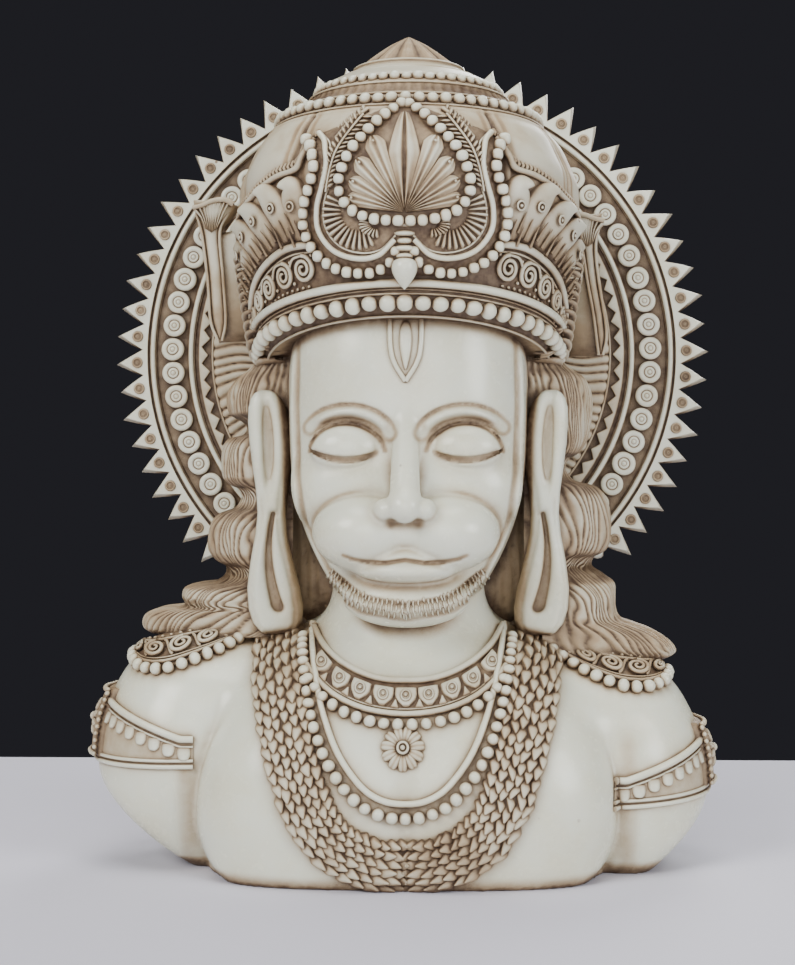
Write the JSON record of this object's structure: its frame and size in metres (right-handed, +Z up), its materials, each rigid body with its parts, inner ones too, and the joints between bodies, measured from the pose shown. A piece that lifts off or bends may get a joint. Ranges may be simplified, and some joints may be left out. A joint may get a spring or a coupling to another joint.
{
  "type": "deity bust figurine",
  "caption": "Monkey-faced deity bust with a tall ornate crown, rayed halo, garland and jewellery, cast in ivory resin with a brown wash.",
  "frame": {"origin": "middle of the foot, on the surface it stands on", "axes": "+Z up to the crown, +Y towards the halo, so that the face looks along -Y"},
  "size_m": [0.1834, 0.1056, 0.2399],
  "materials": {
    "ivory_resin": "polished, with a thin brown wash in the recesses",
    "washed_resin": "satin, carved in fine relief and heavily washed with brown",
    "bare_resin": "matt"
  },
  "bodies": {
    "root": {"torso": "ivory_resin", "foot_plate": "bare_resin", "neck": "ivory_resin", "head": "ivory_resin", "muzzle": "ivory_resin", "nose": "ivory_resin", "eyelids": "ivory_resin", "brows": "ivory_resin", "lips": "ivory_resin", "beard": "washed_resin", "tilak": "ivory_resin", "ear_left": "washed_resin", "ear_right": "washed_resin", "hair_left": "washed_resin", "hair_right": "washed_resin", "hair_back": "washed_resin", "halo_dowels": "bare_resin", "choker_band": "washed_resin", "choker_tiles": "ivory_resin", "choker_pearls": "ivory_resin", "pendant_flower": "ivory_resin", "necklace_cord": "ivory_resin", "necklace_pearls": "ivory_resin", "garland": "washed_resin", "epaulette_left": "ivory_resin", "epaulette_right": "ivory_resin", "epaulette_pearls_left": "washed_resin", "epaulette_pearls_right": "washed_resin", "armlet_left": "washed_resin", "armlet_right": "washed_resin", "armlet_plaque_left": "ivory_resin", "armlet_plaque_right": "ivory_resin", "crown_body": "ivory_resin", "crown_band": "ivory_resin", "crown_band_pearls": "ivory_resin", "crown_scrolls_left": "ivory_resin", "crown_scrolls_right": "ivory_resin", "crown_leaves_left": "washed_resin", "crown_leaves_right": "washed_resin", "crown_fan_left": "washed_resin", "crown_fan_right": "washed_resin", "crest_plate": "washed_resin", "crest_cord": "ivory_resin", "crest_pearls": "ivory_resin", "crest_leaf": "ivory_resin", "crest_leaf_pearls": "ivory_resin", "crest_feathers": "washed_resin", "crest_drop": "ivory_resin", "dome_pearls_lower": "ivory_resin", "dome_pearls_upper": "ivory_resin", "crown_finial": "ivory_resin", "halo_plate": "washed_resin", "halo_rays": "ivory_resin", "halo_ray_studs": "washed_resin", "halo_rings": "ivory_resin", "halo_buttons": "ivory_resin", "halo_flutes": "washed_resin", "halo_zigzag": "washed_resin"}
  },
  "joints": []
}
